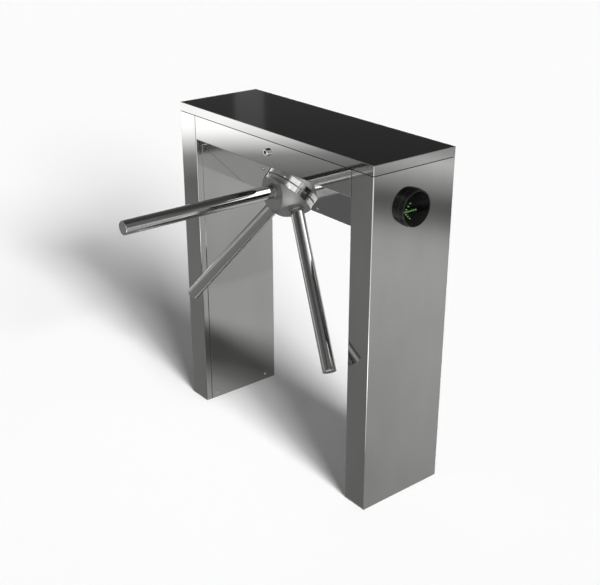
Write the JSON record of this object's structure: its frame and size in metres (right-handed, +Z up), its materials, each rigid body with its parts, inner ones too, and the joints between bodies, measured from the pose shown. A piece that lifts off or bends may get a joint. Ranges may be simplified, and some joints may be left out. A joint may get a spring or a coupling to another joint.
{
  "type": "tripod turnstile",
  "caption": "Free-standing tripod turnstile: legs and bridge in brushed stainless steel, sloped face with rotating arms, hinged black-topped lid, round direction lights.",
  "frame": {"origin": "centre of the four anchor holes, on the floor plane under the middle of the cabinet", "axes": "+Z up, -Y towards the user who meets the tripod, +X to the right seen from that user"},
  "size_m": [0.894, 0.7353, 0.98],
  "materials": {
    "brushed_shell": "vertically brushed stainless sheet",
    "lid_steel": "stainless sheet brushed along its length",
    "black_glass": "black back-painted toughened glass",
    "polished_steel": "polished stainless tube and turned rim",
    "satin_casting": "bead-blasted stainless casting",
    "plated_steel": "zinc-plated steel",
    "dark_steel": "black-oxide steel",
    "painted_plate": "powder-coated steel plate",
    "machined_aluminium": "machined aluminium",
    "bearing_steel": "ground bearing steel",
    "gear_bronze": "bronze gear rim",
    "motor_enamel": "black enamelled motor case",
    "brake_enamel": "red enamelled coil body",
    "black_plastic": "moulded black ABS",
    "smoked_lens": "smoked polycarbonate",
    "circuit_board": "glass-fibre circuit board",
    "terminal_plastic": "grey-beige polyamide",
    "buffer_rubber": "black rubber"
  },
  "bodies": {
    "cabinet": {"left_leg_shell": "brushed_shell", "right_leg_shell": "brushed_shell", "left_leg_cover": "brushed_shell", "right_leg_cover": "brushed_shell", "cover_screws": "plated_steel", "left_base_plate": "painted_plate", "right_base_plate": "painted_plate", "front_panel": "brushed_shell", "back_panel": "brushed_shell", "lid_buffers": "buffer_rubber", "mechanism_screws": "plated_steel", "front_plate": "painted_plate", "rear_plate": "painted_plate", "plate_pillars": "plated_steel", "front_bearing_housing": "machined_aluminium", "front_bearing_outer": "bearing_steel", "rear_bearing_housing": "machined_aluminium", "rear_bearing_outer": "bearing_steel", "gearbox": "machined_aluminium", "motor": "motor_enamel", "brake_coil": "brake_enamel", "sensor_bracket": "plated_steel", "fork_sensor": "black_plastic", "controller_board": "circuit_board", "board_standoffs": "plated_steel", "power_supply": "plated_steel", "terminal_block": "terminal_plastic", "left_indicator_housing": "black_plastic", "right_indicator_housing": "black_plastic", "left_indicator_lens": "smoked_lens", "right_indicator_lens": "smoked_lens", "indicator_boards": "circuit_board", "lock_barrel": "plated_steel", "lock_nut": "plated_steel", "hinge_body_leaves": "plated_steel", "hinge_pins": "plated_steel"},
    "rotor": {"hub_rim": "polished_steel", "hub_head": "satin_casting", "hub_screws": "dark_steel", "arm_1": "polished_steel", "arm_2": "polished_steel", "arm_3": "polished_steel", "arm_caps": "polished_steel", "arm_spigots": "dark_steel", "arm_set_screws": "dark_steel", "main_shaft": "dark_steel", "front_bearing_inner": "bearing_steel", "rear_bearing_inner": "bearing_steel", "main_gear": "gear_bronze", "sensor_disc": "dark_steel", "brake_armature": "dark_steel"},
    "pinion": {"drive_pinion": "dark_steel", "pinion_shaft": "dark_steel"},
    "lid": {"lid_tray": "lid_steel", "lid_glass": "black_glass", "lid_striker": "plated_steel", "hinge_lid_leaves": "plated_steel"},
    "lock": {"lock_plug": "plated_steel", "lock_cam": "plated_steel"}
  },
  "joints": [
    {"name": "rotor_spin", "type": "hinge", "parent": "cabinet", "child": "rotor", "pos_m": [0, -0.0575, 0.8005], "axis": [0, -0.7071, -0.7071], "continuous": true},
    {"name": "pinion_spin", "type": "hinge", "parent": "cabinet", "child": "pinion", "pos_m": [0.09, -0.0575, 0.8005], "axis": [0, -0.7071, -0.7071], "continuous": true},
    {"name": "lid_hinge", "type": "hinge", "parent": "cabinet", "child": "lid", "pos_m": [0, 0.1445, 0.954], "axis": [-1, 0, 0], "range_deg": [0, 80]},
    {"name": "lock_turn", "type": "hinge", "parent": "cabinet", "child": "lock", "pos_m": [0.005, -0.14, 0.922], "axis": [0, 1, 0], "range_deg": [0, 90]}
  ],
  "couplings": [
    {"joint": "pinion_spin", "follows": "rotor_spin", "ratio": -2}
  ]
}
